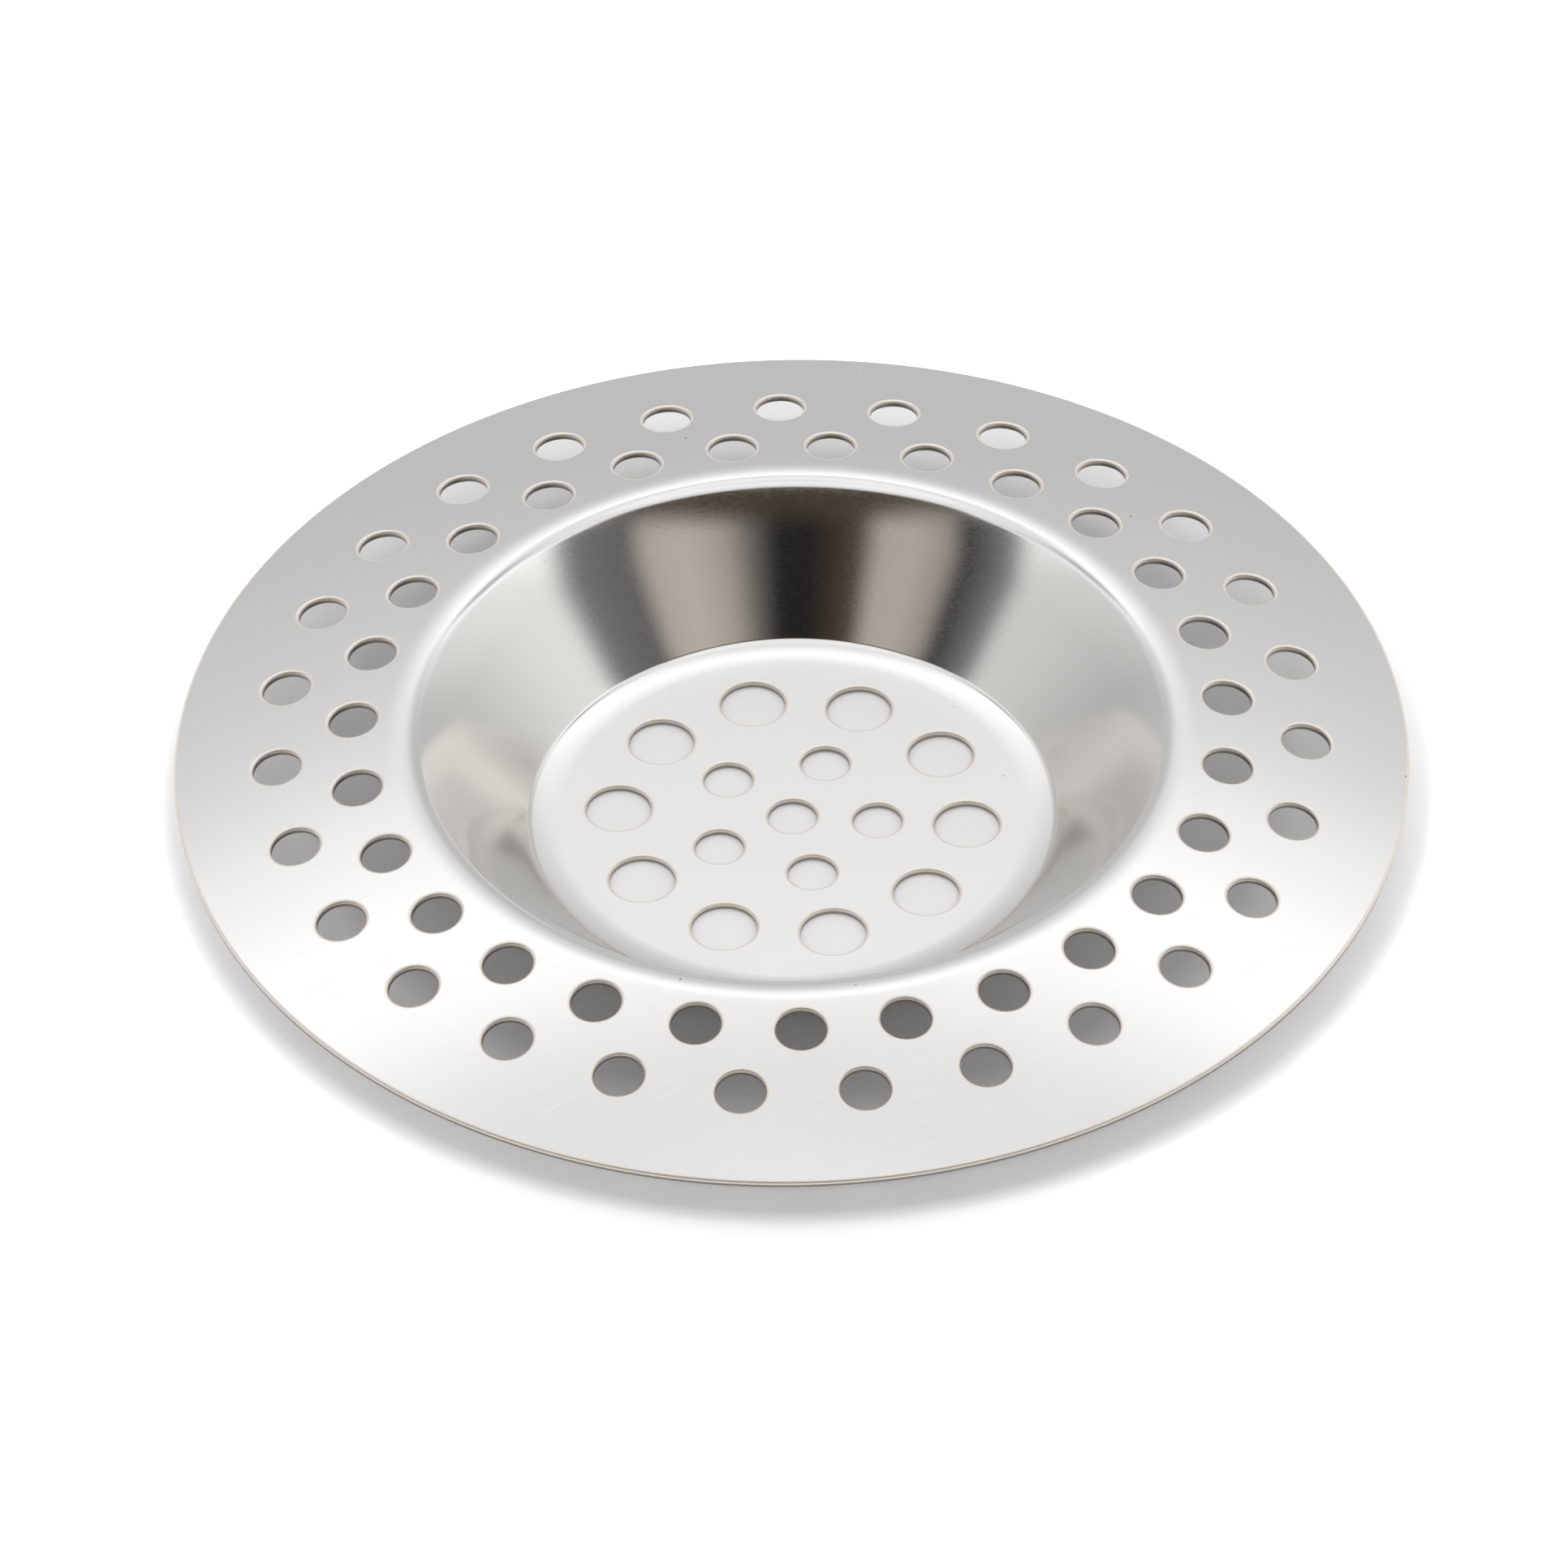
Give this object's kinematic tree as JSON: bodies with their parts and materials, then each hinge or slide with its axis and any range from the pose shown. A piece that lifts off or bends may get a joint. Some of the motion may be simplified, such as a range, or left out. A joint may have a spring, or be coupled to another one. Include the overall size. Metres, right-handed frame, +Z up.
{
  "type": "sink strainer",
  "caption": "Drop-in sink strainer pressed from stainless sheet: a shallow bowl with a perforated floor under a wide, crowned, perforated rim that lies over the drain.",
  "frame": {"origin": "middle of the underside of the bowl's floor, the flat face on which the strainer stands", "axes": "+Z up out of the bowl along the axis of the pressing; X along the one line about which all the rings of holes mirror"},
  "size_m": [0.075, 0.075, 0.0081],
  "materials": {
    "stainless_sheet": "satin sheet, brighter on the drawn wall of the bowl"
  },
  "bodies": {
    "root": {"strainer_dish": "stainless_sheet"}
  },
  "joints": []
}
